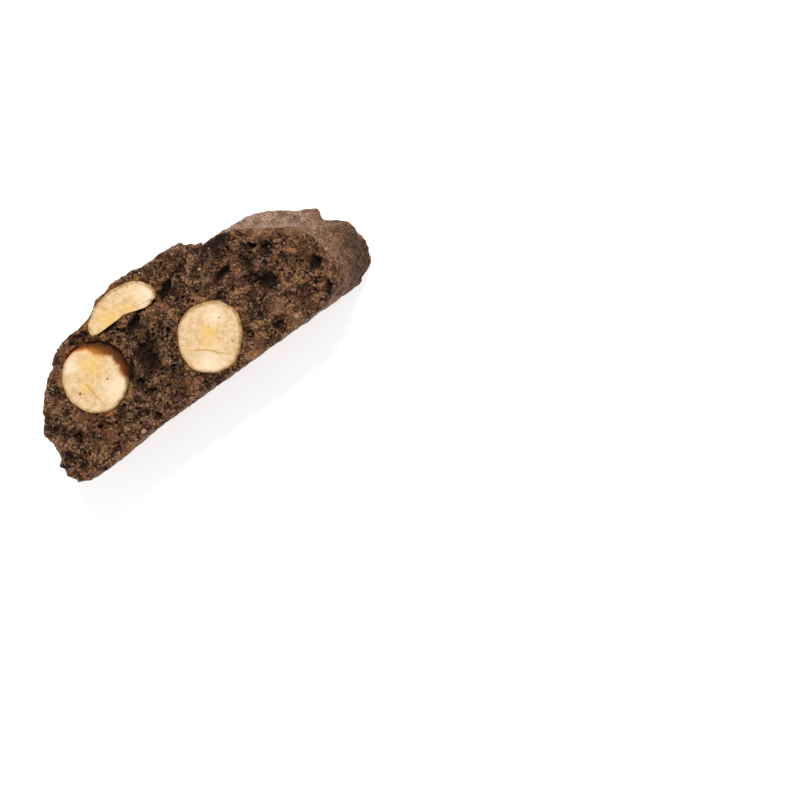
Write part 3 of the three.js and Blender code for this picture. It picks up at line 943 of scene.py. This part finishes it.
def crust_colour(s, grain, streaks, pits):
    """Smoother and greyer than the crumb, with blotches, pits in painted shade, and darker toward the far
    end: partly crust that baking made darker, partly painted shade of the end that faces away from the key
    light.
    """
    blotches = s.noise(2.6, 4.0, 0.62)
    crust = s.mix(s.span(grain, 0.41, 0.59), CRUST_DARK_GRAIN, CRUST_LIGHT_GRAIN)
    crust = s.mix(s.span(blotches, 0.48, 0.62, 0, 0.65), crust, CRUST_DARK_BLOTCH)
    crust = s.mix(s.span(blotches, 0.46, 0.36, 0, 0.3), crust, CRUST_LIGHT_BLOTCH)
    # Darker toward the far end: partly from baking, partly painted shade away from the key light.
    baked_and_shaded = s.times(s.span(streaks, 0.4, 0.6, 0.5, 1.0), s.span(s.attribute("baked_and_shaded"), 0.3, 0.95))
    crust = s.tint(s.span(s.attribute("baked_and_shaded"), 0, 0.4), crust, BAKED_AND_SHADED_TINT)
    crust = s.mix(baked_and_shaded, crust, CRUST_BAKED_AND_SHADED)
    # Painted shade in the pits, where the bump sinks the crust.
    return s.mix(s.times(pits, 0.85), crust, CRUST_PIT_SHADE)


def dough_material():
    s = Shader("chocolate_dough")
    crust_share = s.attribute("crust")
    clumps = s.noise(1.7, 3.0, 0.55)
    height = s.math("ADD", s.times(clumps, 0.45), s.times(s.noise(0.5, 4.0, 0.68), 0.55))
    grain = s.noise(0.3, 4.0, 0.72, at=s.scaled((0.8, 0.8, 1.2)))
    streaks = s.noise(0.55, 3.0, 0.6, at=s.scaled((0.35, 0.35, 2.0)))
    pits = s.span(s.noise(0.8, 3.0, 0.6), 0.6, 0.68)
    colour = s.mix(crust_share, crumb_colour(s, height, clumps), crust_colour(s, grain, streaks, pits))
    crumb_height = s.span(height, 0.35, 0.65)
    crust_height = s.math("SUBTRACT", s.math("ADD", grain, s.times(streaks, 0.5)), pits)
    relief = s.add("ShaderNodeMix", {0: crust_share, 2: crumb_height, 3: crust_height}, data_type="FLOAT")
    roughness = s.span(crust_share, 0, 1, 0.95, 0.65)
    specular = s.span(crust_share, 0, 1, 0.08, 0.1)
    return s.finish(colour, roughness, relief, 0.3, specular)


def toast_colour(s):
    """The toasted edge goes from amber beside the cut to dark brown and black: partly toast, partly painted
    shade toward its outer edge, where the shoulder falls away.
    """
    burn = s.math("ADD", s.attribute("char_and_shade"), s.times(s.noise(0.8, 3.0, 0.6), 0.5))
    toast = s.mix(s.span(burn, 0.3, 0.7), TOAST_AMBER, TOAST_BROWN)
    return s.mix(s.span(burn, 0.7, 1.15), toast, TOAST_SHADE_BLACK)


def nut_material():
    s = Shader("hazelnut_cut")
    fine = s.noise(0.3, 3.0, 0.65)
    mottle = s.noise(1.1, 4.0, 0.62)
    rim = s.times(s.attribute("rim"), s.span(s.noise(0.9, 2.0), 0.35, 0.6, 0.5, 1.0))
    flesh = s.mix(s.span(mottle, 0.38, 0.62), FLESH_TAN, FLESH_CREAM)
    flesh = s.mix(s.span(fine, 0.52, 0.68, 0, 0.65), flesh, FLESH_DARK_GRAIN)
    flesh = s.mix(s.span(fine, 0.45, 0.32, 0, 0.65), flesh, FLESH_LIGHT_GRAIN)
    flesh = s.mix(s.times(s.attribute("blush"), 0.75), flesh, FLESH_BLUSH)
    flesh = s.mix(s.times(s.attribute("pale"), 0.75), flesh, FLESH_PALE)
    flesh = s.mix(rim, flesh, NUT_SKIN)
    flesh = s.mix(s.attribute("toast"), flesh, toast_colour(s))
    flesh = s.mix(s.times(s.attribute("crack"), 0.85), flesh, NUT_CRACK)
    flesh = s.mix(s.times(s.attribute("speck"), 0.85), flesh, NUT_SPECK)
    roughness = s.span(fine, 0.3, 0.7, 0.45, 0.65)
    specular = s.span(s.attribute("toast"), 0, 1, 0.25, 0.05)
    return s.finish(flesh, roughness, fine, 0.06, specular)


def chip_material():
    s = Shader("hazelnut_chip")
    mottle = s.noise(0.5, 3.0, 0.6)
    return s.finish(s.mix(mottle, CHIP_BROWN, CHIP_TAN), 0.6, mottle, 0.1, 0.2)


# ---- Studio ----

VIEW_PIXELS = 800
PIXELS_PER_MM = 5.0  # on the shown cut face
VIEW_MIDDLE = (25.1, -37.5)  # the point under the camera
VIEW_TURN = 35.5  # degrees from the picture's edge to the slice's base
CAMERA_HEIGHT = 1100.0

# In metres.
NEAREST_SEEN = 0.01
FLOOR_HALF = 3
FLOOR_LEVEL = -2e-5  # just under the slice

FLOOR_COLOUR = (0.8, 0.8, 0.8)
FLOOR_GLOW = 0.5
WORLD_STRENGTH = 0.5

# Soft lights: name, place and size in metres, watts and colour. They all face the frame's origin.
LIGHTS = (
    ("key", (0.3, 0.72, 0.8), 0.45, 12.5, (1, 0.985, 0.96)),  # from the top of the picture, a little left
    ("fill", (-0.3, -0.5, 0.8), 0.8, 2.0, (1, 1, 1)),
)


def soft_light(name, place, size, watts, colour):
    data = bpy.data.lights.new(name, "AREA")
    data.shape = "DISK"
    data.size = size
    data.energy = watts
    data.color = colour
    light = bpy.data.objects.new(name, data)
    light.location = place
    light.rotation_euler = (-Vector(place)).to_track_quat("-Z", "Y").to_euler()
    bpy.context.scene.collection.objects.link(light)


def make_camera():
    data = bpy.data.cameras.new("camera")
    data.angle = 2 * math.atan(VIEW_PIXELS / PIXELS_PER_MM / 2 / CAMERA_HEIGHT)
    data.clip_start = NEAREST_SEEN
    camera = bpy.data.objects.new("camera", data)
    turn = math.radians(-VIEW_TURN)
    place = Vector((VIEW_MIDDLE[0], VIEW_MIDDLE[1], THICKNESS + CAMERA_HEIGHT)) * MM
    camera.matrix_world = Matrix.Translation(place) @ Matrix.Rotation(turn, 4, "Z")
    bpy.context.scene.collection.objects.link(camera)
    bpy.context.scene.camera = camera


def make_studio():
    corners = np.array([(-1, -1, 0), (1, -1, 0), (1, 1, 0), (-1, 1, 0)]) * FLOOR_HALF
    floor = mesh_piece("floor", corners + [0, 0, FLOOR_LEVEL], np.array([(0, 1, 2, 3)]))
    s = Shader("floor")
    floor.data.materials.append(s.finish(FLOOR_COLOUR, 0.8, s.noise(2.0), 0.0, 0.1, FLOOR_GLOW))
    world = bpy.data.worlds.new("studio")
    world.use_nodes = True
    background = world.node_tree.nodes["Background"]
    background.inputs["Color"].default_value = (1, 1, 1, 1)
    background.inputs["Strength"].default_value = WORLD_STRENGTH
    bpy.context.scene.world = world
    for light in LIGHTS:
        soft_light(*light)
    bpy.context.scene.view_settings.view_transform = "Standard"


dough_piece = make_dough()
make_chips(dough_piece)
nut_flesh = nut_material()
for nut_name in NUTS:
    make_nut(nut_name, nut_flesh)
make_studio()
make_camera()
